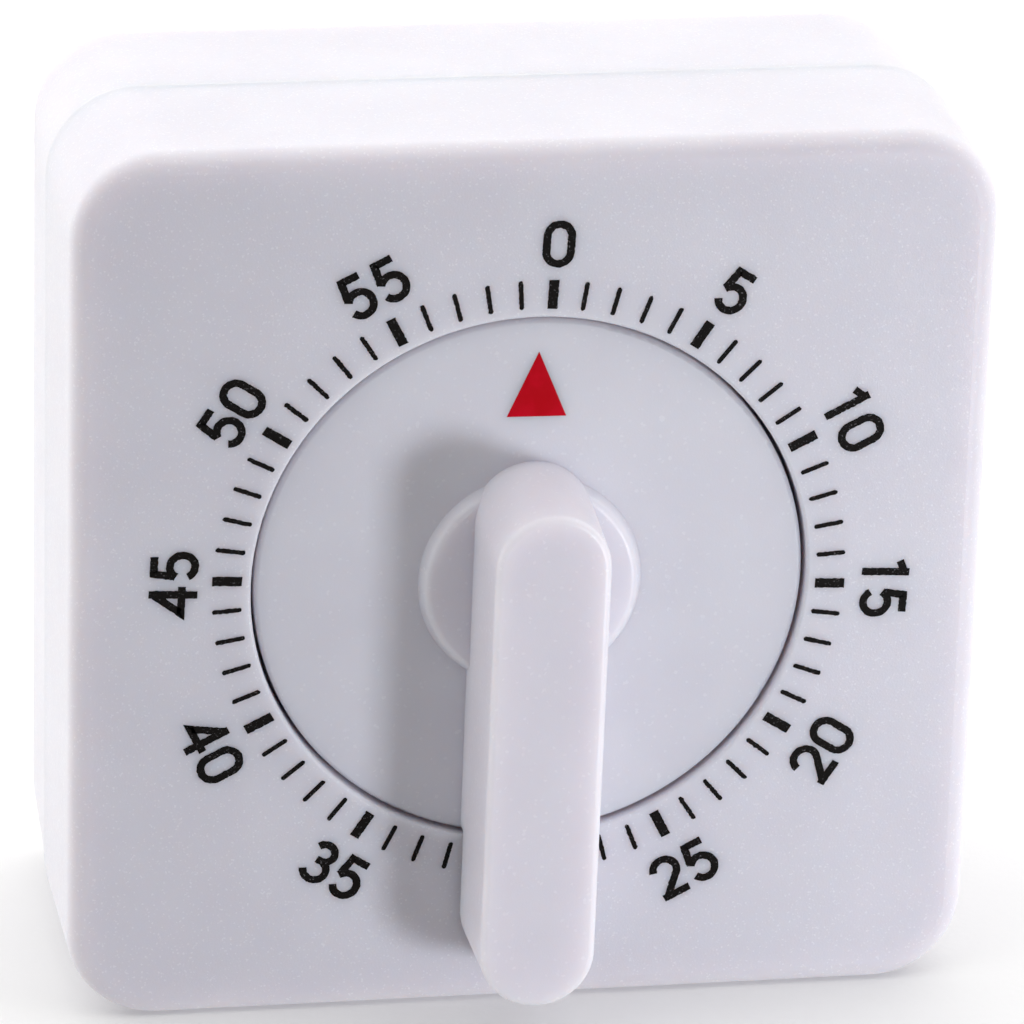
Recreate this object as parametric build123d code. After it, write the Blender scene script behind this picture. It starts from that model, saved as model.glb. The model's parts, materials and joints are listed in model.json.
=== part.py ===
from build123d import *
import os
from math import acos, atan2, cos, degrees, hypot, pi, radians, sin, sqrt

# A wind-up sixty-minute laboratory timer. Millimetres throughout.
#
# Frame: +X to the right of the dial, +Y from the dial towards the back, +Z up.
# The origin is the middle of the face that the case stands on.
# Flat shapes are drawn as (x, height above the dial axis), as seen from the
# front, and placed by their depth behind the front face of the case.

# ---------------------------------------------------------------- case
CASE_DEPTH = 31.0
AXIS_HEIGHT = 33.2            # dial axis above the standing face
FRONT_HALF = 33.2             # half width of the case at its front face
MIDDLE_HALF = 33.4            # half width at the seam (the sides have moulding draft)
REAR_HALF = 32.6              # half width at the back
CORNER_RADIUS = 6.6
FRONT_EDGE_RADIUS = 1.5
REAR_EDGE_RADIUS = 2.2
WALL = 2.0
SOLE_CUT = 0.02               # planed off the underside, which leaves one true flat
SEAM_DEPTH = 14.8             # depth of the front housing
SEAM_GAP = 0.12
SEAM_STEP = 0.12              # the front housing stands this much proud of the cover
TONGUE_LENGTH = 1.6
TONGUE_THICKNESS = 1.0
SOUND_SLOT_SHORTER = 3.0      # each row is this much shorter than the one before
FRONT_Y = -CASE_DEPTH / 2
PAST = 1.0                    # how far a cut runs past the face that it opens
PLAY = 0.1                    # gap round parts that are located but not tight
SOUND_SLOTS = 3               # rows above and below the middle of the back
SOUND_SLOT_FIRST = 8.0
SOUND_SLOT_PITCH = 4.2
SOUND_SLOT_LENGTH = 26.0
SOUND_SLOT_WIDTH = 1.8

# ---------------------------------------------------------------- dial well
WELL_RADIUS = 20.25
WELL_FLOOR = 3.8
WELL_FLOOR_THICKNESS = 1.8
WELL_WALL = 1.7
WELL_EDGE_RADIUS = 0.25
STOP_RADIUS = 17.0            # circle on which the stop tab and the stop lug meet
STOP_WIDTH = 1.2
STOP_LENGTH = 2.4
STOP_CLEARANCE_DEG = 0.5
STOP_LUG_ANGLE = 180.0        # clockwise from the top of the dial
STOP_LUG_HEIGHT = 0.5

# ---------------------------------------------------------------- dial knob
KNOB_REST_TURN = 0.7          # the dial sits this far clockwise of upright, in degrees
DISC_RADIUS = 19.95
DISC_FRONT = 0.5
DISC_THICKNESS = 1.6
RIM_THICKNESS = 1.4
RIM_REAR = 3.4
RIM_EDGE_RADIUS = 0.35
HUB_BASE_RADIUS = 8.55
HUB_TOP_RADIUS = 7.65
HUB_FRONT = -0.5
HUB_EDGE_RADIUS = 0.6
HANDLE_FRONT = -9.0
HANDLE_ROOT = 2.0
HANDLE_OVERHANG_REAR = -0.6   # rear face of the part of the handle that passes over the case
HANDLE_ROOT_HALF = 4.38
HANDLE_FRONT_HALF = 4.15
HANDLE_ROOT_TOP = 9.25
HANDLE_ROOT_BOTTOM = -29.85
HANDLE_FRONT_TOP = 8.6
HANDLE_FRONT_BOTTOM = -29.5
HANDLE_EDGE_RADIUS = 0.5
KNOB_BOSS_RADIUS = 3.0
KNOB_BOSS_REAR = 6.9
KNOB_BOSS_GAP = 0.4           # round the boss, in the floor of the well

# ---------------------------------------------------------------- case and movement screws
CASE_SCREW_OFFSET = 26.8
CASE_BOSS_RADIUS = 3.0
CASE_BOSS_REAR = 16.8
COVER_TUBE_FRONT = 17.0
COVER_TUBE_WALL = 0.6
COUNTERBORE_FLOOR = 24.0
COUNTERBORE_RADIUS = 2.6
CASE_SCREW_RADIUS = 1.2
CASE_SCREW_HEAD_RADIUS = 2.3
CASE_SCREW_HEAD = 1.8
CASE_SCREW_TIP = 9.0
MOVEMENT_SCREWS = [(-21.5, 0), (0, -21.5), (21.5, -9.0)]
MOVEMENT_BOSS_RADIUS = 2.3
MOVEMENT_SCREW_RADIUS = 0.9
MOVEMENT_SCREW_TIP = 5.0
MOVEMENT_SCREW_HEAD_RADIUS = 1.7
MOVEMENT_SCREW_HEAD = 1.1
SLOT_WIDTH = 0.5
SCREW_PLAY = 0.02             # between a fastener's thread and its hole, on the radius

# ---------------------------------------------------------------- movement plates
PLATE_SIZE = 48.0
PLATE_CORNER = 4.0
PLATE_THICKNESS = 1.0
FRONT_PLATE = 7.5             # front face of the front plate
REAR_PLATE = 18.0             # front face of the rear plate
PLATES_INSIDE = FRONT_PLATE + PLATE_THICKNESS
REAR_PLATE_BACK = REAR_PLATE + PLATE_THICKNESS
PILLAR_OFFSET = 21.0
PILLAR_RADIUS = 1.4
TENON_RADIUS = 0.9
NUT_ACROSS_FLATS = 3.4
NUT_THICKNESS = 1.2
POST_TENON_RADIUS = 0.7
STUD_TENON_RADIUS = 0.5
RUNNING_PLAY = 0.05           # between a shaft and its bearing, on the radius
END_PLAY = 0.15               # between an arbor's shoulder and a plate

# ---------------------------------------------------------------- gear train
WHEEL_TEETH = 56
PINION_LEAVES = 8
GREAT_MODULE = 0.45
SECOND_MODULE = 0.33
THIRD_MODULE = 0.28
WHEEL_THICKNESS = 0.8
ARBOR_RADIUS = 0.6
PIVOT_RADIUS = 0.4
EXTENDED_PIVOT_RADIUS = 0.5   # rear pivots that carry a part behind the rear plate
THIRD_ARBOR_DISTANCE = 19.3   # from the dial axis
THIRD_ARBOR_ANGLE = 45.0      # counter-clockwise from +X
ESCAPE_ARBOR_DISTANCE = 17.6
ANCHOR_ARBOR_DISTANCE = 18.2

ZERO_CAM_FRONT = 8.95         # layers, counted in depth
SECOND_WHEEL_FRONT = 9.0
GREAT_WHEEL_FRONT = 10.3
GREAT_WHEEL_THICKNESS = 1.0
PINION_OVERHANG = 0.2         # of a pinion past each face of its wheel
RATCHET_FRONT = 11.5
RATCHET_THICKNESS = 0.8
THIRD_WHEEL_FRONT = 12.0
MAINSPRING_FRONT = 12.9
MAINSPRING_WIDTH = 4.4
ESCAPE_WHEEL_FRONT = 14.0
ANCHOR_FRONT = 15.0
BALANCE_FRONT = 16.1
STRIKE_FRONT = 19.6           # star wheel, hammer and hold-off arm, behind the rear plate
STRIKE_THICKNESS = 0.8

# ---------------------------------------------------------------- main arbor
SEAT_RADIUS = 2.0             # carries the cam, the great wheel and the ratchet
DRUM_RADIUS = 2.2             # the mainspring is wound on this
DRUM_GAP = 0.3                # between the drum and the rear plate
ARBOR_FRONT_RADIUS = 1.5
ARBOR_REAR_RADIUS = 1.2
ARBOR_FLAT = 1.0              # distance of the drive flat from the axis
ARBOR_TIP = 3.2
ZERO_CAM_RADIUS = 4.5
ZERO_CAM_THICKNESS = 0.9
NOTCH_FLOOR_RADIUS = 3.1
NOTCH_WIDTH = 1.9
RATCHET_TEETH = 16
RATCHET_RADIUS = 5.0
RATCHET_DEPTH = 0.8
WASHER_WIDTH = 1.4

# ---------------------------------------------------------------- click and mainspring
CLICK_STUD_DISTANCE = 9.2
CLICK_TIP_ANGLE = 200.0
CLICK_TIP_CLEARANCE = 0.06
CLICK_STUD_RADIUS = 0.6
CLICK_STUD_HEAD_RADIUS = 1.1
CLICK_HUB_RADIUS = 1.5
LEAF_GAP = 0.08               # between a leaf spring and what it presses, at rest
LEAF_INSET = 0.1              # a leaf spring is this much narrower each side than what it presses
SPRING_STRIP = 0.25
SPRING_INNER_RADIUS = 2.4
SPRING_OUTER_RADIUS = 10.3
SPRING_TURNS = 8.6
SPRING_LEAVING = 100          # degrees over which the strip leaves the coil for the post
SPRING_POST = (-11.0, -11.0)
SPRING_POST_RADIUS = 1.2

# ---------------------------------------------------------------- escapement
ESCAPE_TEETH = 16
ESCAPE_RADIUS = 5.4
ESCAPE_DEPTH = 1.2
ANCHOR_DISTANCE = 7.2         # between the escape and anchor arbors
ANCHOR_SPAN_TEETH = 4.5
PALLET_PIN_RADIUS = 0.25
PALLET_CLEARANCE = 0.06
BALANCE_LENGTH = 10.4
BALANCE_ANGLE = 35.0
BALANCE_WEIGHT_RADIUS = 1.5
BALANCE_THICKNESS = 1.2
ANCHOR_THICKNESS = 0.6

# ---------------------------------------------------------------- alarm
STAR_TEETH = 28
STAR_RADIUS = 5.2
STAR_DEPTH = 0.8
HAMMER_STUD_DISTANCE = 7.2    # from the star's arbor
HAMMER_STUD_ANGLE = 215.0
HAMMER_TIP_CLEARANCE = 0.15
HAMMER_STUD_RADIUS = 0.8
HAMMER_HEAD_RADIUS = 1.6
HAMMER_HEAD_LENGTH = 4.0
HAMMER_HEAD_GAP = 1.7         # between the head at rest and the gong's wall
HAMMER_HEAD_ANGLE = -10.0     # direction of the head, seen from the gong's middle
HAMMER_FINGER = 4.6
HAMMER_STUD_HEAD_RADIUS = 1.3
HUB_DISC_RADIUS = 1.5         # round the arbors of the flat levers
LEVER_WIDTH = 1.4
SPRING_FOOT_RADIUS = 0.9
HAMMER_FINGER_WIDTH = 1.2
HAMMER_TAIL_WIDTH = 1.0
HAMMER_TAIL_POINT = 1.2       # length of the tapered point at the end of the tail
HAMMER_TIP_HALF = 0.12
HOLD_OFF_GAP = 0.56
HOLD_OFF_WIDTH = 1.0
HOLD_OFF_LAP = 0.4            # length over which the arm reaches under the hammer's finger
ALARM_ARBOR = (-13.2, 9.6)
LEVER_SPRING_POST = (-15.0, 15.5)
HAMMER_SPRING_POST = (5.0, -4.5)
LEVER_NOSE_RADIUS = 0.5
LEVER_NOSE_CLEARANCE = 0.05
LEVER_OFFSET = 1.6            # the lever's bar runs this far outside its nose
LEVER_SPRING_REACH = 7.5      # along the lever, from its arbor
GONG_CENTRE = (-3.0, -3.0)
GONG_RADIUS = 24.0
GONG_WALL = 0.8
GONG_EDGE_RADIUS = 2.5
GONG_FRONT = 21.2
GONG_REAR = 27.2
GONG_POST_RADIUS = 2.2
GONG_SCREW_RADIUS = 0.9
GONG_SCREW_HEAD = 1.2
GONG_SCREW_LENGTH = 4.0


# ================================================================ helpers
def depth_plane(depth):
    """Plane facing the front, at a depth behind the front face of the case."""
    return Plane.XZ.offset(-(FRONT_Y + depth))


def slab(outline, start, end):
    """Solid of a flat outline between two depths."""
    return extrude(depth_plane(end) * outline, amount=end - start, dir=(0, -1, 0))


def rod(radius, start, end, at=(0, 0)):
    """Round bar parallel to the dial axis between two depths."""
    return slab(Pos(*at) * Circle(radius), start, end)


def polar(radius, angle, centre=(0, 0)):
    """Point at a distance and a counter-clockwise angle from a centre."""
    return (centre[0] + radius * cos(radians(angle)), centre[1] + radius * sin(radians(angle)))


def direction(start, end):
    """Counter-clockwise angle from one point to another, in degrees."""
    return degrees(atan2(end[1] - start[1], end[0] - start[0]))


def beside(start, end, along, aside):
    """Point measured along the line from start to end, and to the left of it."""
    angle = direction(start, end)
    return polar(aside, angle + 90, polar(along, angle, start))


def link(start, end, width):
    """Flat bar with round ends, centred on two points."""
    length = hypot(end[0] - start[0], end[1] - start[1])
    middle = ((start[0] + end[0]) / 2, (start[1] + end[1]) / 2)
    return Pos(*middle) * Rot(0, 0, direction(start, end)) * SlotCenterToCenter(length, width)


def outline(points):
    """Flat face inside a closed chain of straight lines."""
    return make_face(Polyline(*points, close=True))


def toothed(teeth, phase, profile):
    """Closed outline that repeats a tooth profile of (radius, angle) points."""
    pitch = 360 / teeth
    points = []
    for tooth in range(teeth):
        for radius, angle in profile:
            points.append(polar(radius, phase + tooth * pitch + angle))
    return outline(points)


def wheel_outline(module, phase):
    """Clock wheel: radial flanks, pointed rounded tips, a tooth centred on the phase angle."""
    radius = WHEEL_TEETH * module / 2
    half = degrees(0.68 * module / radius)
    side = [(-1.1, 1.0), (0.0, 1.0), (0.5, 0.78), (0.85, 0.42)]
    rising = [(radius + step * module, -share * half) for step, share in side]
    falling = [(r, -angle) for r, angle in reversed(rising)]
    return toothed(WHEEL_TEETH, phase, rising + [(radius + 1.0 * module, 0)] + falling)


def pinion_outline(module, phase):
    """Pinion: radial leaves with rounded tips, a gap centred on the phase angle."""
    radius = PINION_LEAVES * module / 2
    half = degrees(0.46 * module / radius)
    side = [(-1.4, 1.0), (0.0, 1.0), (0.36, 0.75)]
    rising = [(radius + step * module, -share * half) for step, share in side]
    falling = [(r, -angle) for r, angle in reversed(rising)]
    half_pitch = 180 / PINION_LEAVES
    return toothed(PINION_LEAVES, phase + half_pitch, rising + [(radius + 0.56 * module, 0)] + falling)


def group(pieces):
    """Separate identical pieces as one node."""
    return Compound(pieces)


def triangle_side(a, b, c):
    """Angle between sides a and b of a triangle whose third side is c, in degrees."""
    return degrees(acos((a * a + b * b - c * c) / (2 * a * b)))


def centre_distance(module):
    """Distance between the arbors of a wheel and a pinion of this module."""
    return module * (WHEEL_TEETH + PINION_LEAVES) / 2


# ---------------------------------------------------------------- arbor positions
SECOND_ARBOR_DISTANCE = centre_distance(GREAT_MODULE)
THIRD = polar(THIRD_ARBOR_DISTANCE, THIRD_ARBOR_ANGLE)
SECOND_ARBOR_ANGLE = THIRD_ARBOR_ANGLE - triangle_side(
    SECOND_ARBOR_DISTANCE, THIRD_ARBOR_DISTANCE, centre_distance(SECOND_MODULE))
SECOND = polar(SECOND_ARBOR_DISTANCE, SECOND_ARBOR_ANGLE)
ESCAPE_ARBOR_ANGLE = THIRD_ARBOR_ANGLE + triangle_side(
    THIRD_ARBOR_DISTANCE, ESCAPE_ARBOR_DISTANCE, centre_distance(THIRD_MODULE))
ESCAPE = polar(ESCAPE_ARBOR_DISTANCE, ESCAPE_ARBOR_ANGLE)
ANCHOR = polar(ANCHOR_ARBOR_DISTANCE, ESCAPE_ARBOR_ANGLE + triangle_side(
    ESCAPE_ARBOR_DISTANCE, ANCHOR_ARBOR_DISTANCE, ANCHOR_DISTANCE))
HAMMER_STUD = polar(HAMMER_STUD_DISTANCE, HAMMER_STUD_ANGLE, THIRD)
PILLARS = [(x * PILLAR_OFFSET, z * PILLAR_OFFSET) for x in (-1, 1) for z in (-1, 1)]
CASE_SCREWS = [(x * CASE_SCREW_OFFSET, z * CASE_SCREW_OFFSET) for x in (-1, 1) for z in (-1, 1)]
PIVOTED = [SECOND, THIRD, ESCAPE, ANCHOR, ALARM_ARBOR]


# ================================================================ case
def case_outline(half, inset=0.0):
    """Cross-section of the case: its lower side stays just below the standing face."""
    depth_below = AXIS_HEIGHT + SOLE_CUT
    width = 2 * (half - inset)
    height = half + depth_below - 2 * inset
    return Pos(0, (half - depth_below) / 2) * RectangleRounded(width, height, CORNER_RADIUS - inset)


def case_block(start, start_half, end, end_half, inset=0.0):
    """Solid between two cross-sections of the case."""
    return loft([
        depth_plane(start) * case_outline(start_half, inset),
        depth_plane(end) * case_outline(end_half, inset),
    ])


def flat_soled(body):
    """Plane the underside off at the standing face."""
    return body - Pos(0, 0, -AXIS_HEIGHT - CASE_DEPTH / 2) * Box(4 * FRONT_HALF, 2 * CASE_DEPTH, CASE_DEPTH)


def front_housing():
    """Front shell with the dial well, four case bosses and three movement bosses."""
    body = case_block(0, FRONT_HALF, SEAM_DEPTH, MIDDLE_HALF)
    body = fillet(body.faces().sort_by(Axis.Y)[0].edges(), FRONT_EDGE_RADIUS)
    body -= case_block(WALL, FRONT_HALF, SEAM_DEPTH, MIDDLE_HALF, WALL)
    floor_rear = WELL_FLOOR + WELL_FLOOR_THICKNESS
    body += rod(WELL_RADIUS + WELL_WALL, WALL / 2, floor_rear)
    for spot in CASE_SCREWS:
        body += rod(CASE_BOSS_RADIUS, WALL / 2, CASE_BOSS_REAR, spot)
    for spot in MOVEMENT_SCREWS:
        body += rod(MOVEMENT_BOSS_RADIUS, WALL / 2, FRONT_PLATE, spot)
    body -= rod(WELL_RADIUS, -PAST, WELL_FLOOR)
    body -= rod(KNOB_BOSS_RADIUS + KNOB_BOSS_GAP, 0, floor_rear + PAST)
    for spot in CASE_SCREWS:
        body -= rod(CASE_SCREW_RADIUS + SCREW_PLAY, CASE_SCREW_TIP - 1, CASE_BOSS_REAR + PAST, spot)
    for spot in MOVEMENT_SCREWS:
        body -= rod(MOVEMENT_SCREW_RADIUS + SCREW_PLAY, MOVEMENT_SCREW_TIP - PLAY, FRONT_PLATE + PAST, spot)
    rim = [
        edge for edge in body.edges().filter_by(GeomType.CIRCLE)
        if abs(edge.radius - WELL_RADIUS) < 0.01 and edge.center().Y < FRONT_Y + 0.1
    ]
    body = flat_soled(fillet(rim, WELL_EDGE_RADIUS))
    return body + slab(stop_block(STOP_LUG_ANGLE), WELL_FLOOR - STOP_LUG_HEIGHT, WELL_FLOOR + PAST)


def stop_block(clockwise_angle):
    """Small block on the stop circle, at an angle clockwise from the top."""
    place = polar(STOP_RADIUS, 90 - clockwise_angle)
    return Pos(*place) * Rot(0, 0, -clockwise_angle) * Rectangle(STOP_WIDTH, STOP_LENGTH)


def rear_cover():
    """Rear shell with a locating tongue, four screw tubes and sound slots."""
    start = SEAM_DEPTH + SEAM_GAP
    seam_half = MIDDLE_HALF - SEAM_STEP
    body = case_block(start, seam_half, CASE_DEPTH, REAR_HALF)
    body = fillet(body.faces().sort_by(Axis.Y)[-1].edges(), REAR_EDGE_RADIUS)
    body -= case_block(start - PAST, seam_half, CASE_DEPTH - WALL, REAR_HALF, WALL)
    tongue_outside = WALL + PLAY
    tongue = case_outline(MIDDLE_HALF, tongue_outside)
    tongue -= case_outline(MIDDLE_HALF, tongue_outside + TONGUE_THICKNESS)
    body += slab(tongue, SEAM_DEPTH - TONGUE_LENGTH, start + TONGUE_LENGTH)
    inside = CASE_DEPTH - WALL / 2
    for spot in CASE_SCREWS:
        body += rod(CASE_BOSS_RADIUS + COVER_TUBE_WALL, COVER_TUBE_FRONT, inside, spot)
    for spot in CASE_SCREWS:
        body -= rod(CASE_BOSS_RADIUS + PLAY, SEAM_DEPTH - TONGUE_LENGTH - PAST, COVER_TUBE_FRONT, spot)
        body -= rod(CASE_SCREW_RADIUS + 2 * PLAY, COVER_TUBE_FRONT - PAST, CASE_DEPTH + PAST, spot)
        body -= rod(COUNTERBORE_RADIUS, COUNTERBORE_FLOOR, CASE_DEPTH + PAST, spot)
    for row in range(SOUND_SLOTS):
        for side in (-1, 1):
            height = side * (SOUND_SLOT_FIRST + row * SOUND_SLOT_PITCH)
            length = SOUND_SLOT_LENGTH - SOUND_SLOT_SHORTER * row
            slot = Pos(0, height) * SlotOverall(length, SOUND_SLOT_WIDTH)
            body -= slab(slot, CASE_DEPTH - WALL - PAST, CASE_DEPTH + PAST)
    return flat_soled(body)


def slotted_screws(spots, head_front, head, head_radius, radius, tip):
    """Cheese-head screws with their tips towards the front."""
    screws = []
    for spot in spots:
        screw = rod(head_radius, head_front, head_front + head, spot)
        screw += rod(radius, tip, head_front, spot)
        slot = Pos(*spot) * Rectangle(4 * head_radius, SLOT_WIDTH)
        screws.append(screw - slab(slot, head_front + head / 2, head_front + head + PAST))
    return group(screws)


def cross_screws(spots, head_front, head, head_radius, radius, tip):
    """Pan-head screws with a cross recess, tips towards the front."""
    screws = []
    for spot in spots:
        screw = rod(head_radius, head_front, head_front + head, spot)
        screw = fillet(screw.edges().sort_by(Axis.Y)[-1], head / 3)
        screw += rod(radius, tip, head_front, spot)
        for turn in (45, 135):
            bar = Pos(*spot) * Rot(0, 0, turn) * Rectangle(head_radius * 1.2, SLOT_WIDTH)
            screw -= slab(bar, head_front + head * 0.4, head_front + head + PAST)
        screws.append(screw)
    return group(screws)


# ================================================================ dial
def handle_outline(half, top, bottom):
    """Round-ended outline of the handle."""
    return link((0, bottom + half), (0, top - half), 2 * half)


def upright(part):
    """Turn a part of the dial from upright to its place at zero."""
    return Rot(0, KNOB_REST_TURN, 0) * part


def dial_knob():
    """One moulding: dial disc with a rear rim, hub, bar handle, arbor socket and stop tab."""
    disc = rod(DISC_RADIUS, DISC_FRONT, RIM_REAR)
    disc = fillet(disc.edges().sort_by(Axis.Y)[0], RIM_EDGE_RADIUS)
    disc -= rod(DISC_RADIUS - RIM_THICKNESS, DISC_FRONT + DISC_THICKNESS, RIM_REAR + PAST)
    hub = loft([
        depth_plane(DISC_FRONT + DISC_THICKNESS / 2) * Circle(HUB_BASE_RADIUS),
        depth_plane(HUB_FRONT) * Circle(HUB_TOP_RADIUS),
    ])
    hub = fillet(hub.edges().sort_by(Axis.Y)[0], HUB_EDGE_RADIUS)
    handle = loft([
        depth_plane(HANDLE_ROOT) * handle_outline(HANDLE_ROOT_HALF, HANDLE_ROOT_TOP, HANDLE_ROOT_BOTTOM),
        depth_plane(HANDLE_FRONT) * handle_outline(HANDLE_FRONT_HALF, HANDLE_FRONT_TOP, HANDLE_FRONT_BOTTOM),
    ])
    handle = fillet(handle.faces().sort_by(Axis.Y)[0].edges(), HANDLE_EDGE_RADIUS)
    beyond_disc = Circle(FRONT_HALF) - Circle(DISC_RADIUS - RIM_EDGE_RADIUS)
    handle -= slab(beyond_disc, HANDLE_OVERHANG_REAR, HANDLE_ROOT + PAST)
    knob = disc + hub + handle
    knob += rod(KNOB_BOSS_RADIUS, DISC_FRONT + DISC_THICKNESS / 2, KNOB_BOSS_REAR)
    knob -= slab(drive_outline(SCREW_PLAY), ARBOR_TIP - PLAY, KNOB_BOSS_REAR + PAST)
    block_angle = degrees(STOP_WIDTH / (STOP_RADIUS - STOP_LENGTH / 2))
    tab = stop_block(STOP_LUG_ANGLE + block_angle + STOP_CLEARANCE_DEG)
    knob += slab(tab, DISC_FRONT + DISC_THICKNESS / 2, WELL_FLOOR - PLAY)
    return upright(knob)


def drive_outline(play):
    """Round arbor end with one flat, as a hole when given some play."""
    radius = ARBOR_FRONT_RADIUS + play
    flat = ARBOR_FLAT + play
    return Circle(radius) - Pos(0, flat + radius) * Rectangle(4 * radius, 2 * radius)


def main_arbor():
    """Turned steel arbor from the knob's socket to the rear plate."""
    arbor = slab(drive_outline(0), ARBOR_TIP, KNOB_BOSS_REAR)
    arbor += rod(ARBOR_FRONT_RADIUS, KNOB_BOSS_REAR, ZERO_CAM_FRONT)
    arbor += rod(SEAT_RADIUS, ZERO_CAM_FRONT, RATCHET_FRONT + RATCHET_THICKNESS)
    arbor += rod(DRUM_RADIUS, RATCHET_FRONT + RATCHET_THICKNESS, REAR_PLATE - DRUM_GAP)
    arbor += rod(ARBOR_REAR_RADIUS, REAR_PLATE - DRUM_GAP, REAR_PLATE_BACK + PLAY)
    return upright(arbor)


def zero_cam():
    """Cam on the main arbor: its notch is under the lever's nose when the dial is at zero."""
    cam = Circle(ZERO_CAM_RADIUS) - Circle(SEAT_RADIUS)
    angle = lever_nose_angle()
    notch = Pos(*polar(NOTCH_FLOOR_RADIUS + ZERO_CAM_RADIUS / 2, angle)) * Rot(0, 0, angle)
    cam -= notch * Rectangle(ZERO_CAM_RADIUS, NOTCH_WIDTH)
    return slab(cam, ZERO_CAM_FRONT, ZERO_CAM_FRONT + ZERO_CAM_THICKNESS)


def ratchet_wheel():
    """Saw-tooth wheel that pushes the click when the dial runs back."""
    pitch = 360 / RATCHET_TEETH
    root = RATCHET_RADIUS - RATCHET_DEPTH
    phase = CLICK_TIP_ANGLE - 0.35 * pitch
    profile = [(RATCHET_RADIUS, 0), (root, 0.08 * pitch), (root + 0.25 * RATCHET_DEPTH, 0.6 * pitch)]
    wheel = toothed(RATCHET_TEETH, phase, profile) - Circle(SEAT_RADIUS)
    return slab(wheel, RATCHET_FRONT, RATCHET_FRONT + RATCHET_THICKNESS)


def mainspring():
    """Open spiral strip from the arbor's drum to a loop round the spring post."""
    post_angle = direction((0, 0), SPRING_POST) % 360
    post_distance = hypot(*SPRING_POST)
    eye_hole = SPRING_POST_RADIUS + RUNNING_PLAY
    eye_radius = eye_hole + SPRING_STRIP
    coil_end = post_angle - SPRING_LEAVING
    start_angle = coil_end - 360 * SPRING_TURNS
    line = []
    count = round(30 * SPRING_TURNS)
    for index in range(count + 1):
        share = index / count
        radius = SPRING_INNER_RADIUS + share * (SPRING_OUTER_RADIUS - SPRING_INNER_RADIUS)
        line.append((radius, start_angle + share * 360 * SPRING_TURNS))
    end_radius = post_distance - eye_radius
    steps = 8
    for index in range(1, steps + 1):
        share = index / steps
        radius = SPRING_OUTER_RADIUS + share * share * (end_radius - SPRING_OUTER_RADIUS)
        line.append((radius, coil_end + share * SPRING_LEAVING))
    inner = [polar(radius - SPRING_STRIP / 2, angle) for radius, angle in line]
    outer = [polar(radius + SPRING_STRIP / 2, angle) for radius, angle in reversed(line)]
    eye = Pos(*SPRING_POST) * (Circle(eye_radius) - Circle(eye_hole))
    return slab(outline(inner + outer) + eye, MAINSPRING_FRONT, MAINSPRING_FRONT + MAINSPRING_WIDTH)


# ================================================================ plates
def plate(start, holes):
    """Movement plate with round holes given as (place, radius)."""
    flat = RectangleRounded(PLATE_SIZE, PLATE_SIZE, PLATE_CORNER)
    for spot, radius in holes:
        flat -= Pos(*spot) * Circle(radius)
    return slab(flat, start, start + PLATE_THICKNESS)


def shared_holes():
    """Holes that both plates have: pillar tenons and the spring post."""
    holes = [(spot, TENON_RADIUS + SCREW_PLAY) for spot in PILLARS]
    holes.append((SPRING_POST, POST_TENON_RADIUS + SCREW_PLAY))
    return holes


def front_plate():
    """Plate behind the dial well."""
    holes = shared_holes() + [((0, 0), ARBOR_FRONT_RADIUS + RUNNING_PLAY)]
    holes += [(spot, PIVOT_RADIUS + RUNNING_PLAY) for spot in PIVOTED]
    holes += [(spot, MOVEMENT_SCREW_RADIUS + PLAY) for spot in MOVEMENT_SCREWS]
    holes.append((LEVER_SPRING_POST, STUD_TENON_RADIUS + SCREW_PLAY))
    return plate(FRONT_PLATE, holes)


def rear_plate():
    """Plate that carries the gong and the striking parts."""
    extended = [THIRD, ALARM_ARBOR]
    holes = shared_holes() + [((0, 0), ARBOR_REAR_RADIUS + RUNNING_PLAY)]
    for spot in PIVOTED:
        radius = EXTENDED_PIVOT_RADIUS if spot in extended else PIVOT_RADIUS
        holes.append((spot, radius + RUNNING_PLAY))
    holes.append((GONG_CENTRE, GONG_POST_RADIUS / 2 + SCREW_PLAY))
    holes += [(spot, STUD_TENON_RADIUS + SCREW_PLAY) for spot in (HAMMER_STUD, HAMMER_SPRING_POST)]
    return plate(REAR_PLATE, holes)


def plate_pillars():
    """Four shouldered pillars: riveted in front, threaded behind."""
    pillars = []
    for spot in PILLARS:
        pillar = rod(PILLAR_RADIUS, PLATES_INSIDE, REAR_PLATE, spot)
        pillar += rod(TENON_RADIUS, FRONT_PLATE, PLATES_INSIDE, spot)
        pillar += rod(TENON_RADIUS, REAR_PLATE, REAR_PLATE_BACK + NUT_THICKNESS + PLAY, spot)
        pillars.append(pillar)
    return group(pillars)


def pillar_nuts():
    """Four hexagon nuts on the pillars."""
    nuts = []
    for spot in PILLARS:
        nut = RegularPolygon(NUT_ACROSS_FLATS / 2, 6, major_radius=False) - Circle(TENON_RADIUS + SCREW_PLAY)
        nuts.append(slab(Pos(*spot) * nut, REAR_PLATE_BACK, REAR_PLATE_BACK + NUT_THICKNESS))
    return group(nuts)


def spring_post():
    """Post between the plates that holds the mainspring's outer end."""
    post = rod(SPRING_POST_RADIUS, PLATES_INSIDE, REAR_PLATE, SPRING_POST)
    return post + rod(POST_TENON_RADIUS, FRONT_PLATE, REAR_PLATE_BACK, SPRING_POST)


# ================================================================ train
def arbor(at, rear=None):
    """Steel arbor with a pivot in each plate, and a longer rear pivot where asked."""
    front_shoulder = PLATES_INSIDE + END_PLAY
    rear_shoulder = REAR_PLATE - END_PLAY
    shaft = rod(ARBOR_RADIUS, front_shoulder, rear_shoulder, at)
    shaft += rod(PIVOT_RADIUS, FRONT_PLATE + PLAY, front_shoulder, at)
    if rear is None:
        return shaft + rod(PIVOT_RADIUS, rear_shoulder, REAR_PLATE_BACK - PLAY, at)
    return shaft + rod(EXTENDED_PIVOT_RADIUS, rear_shoulder, rear, at)


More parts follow.
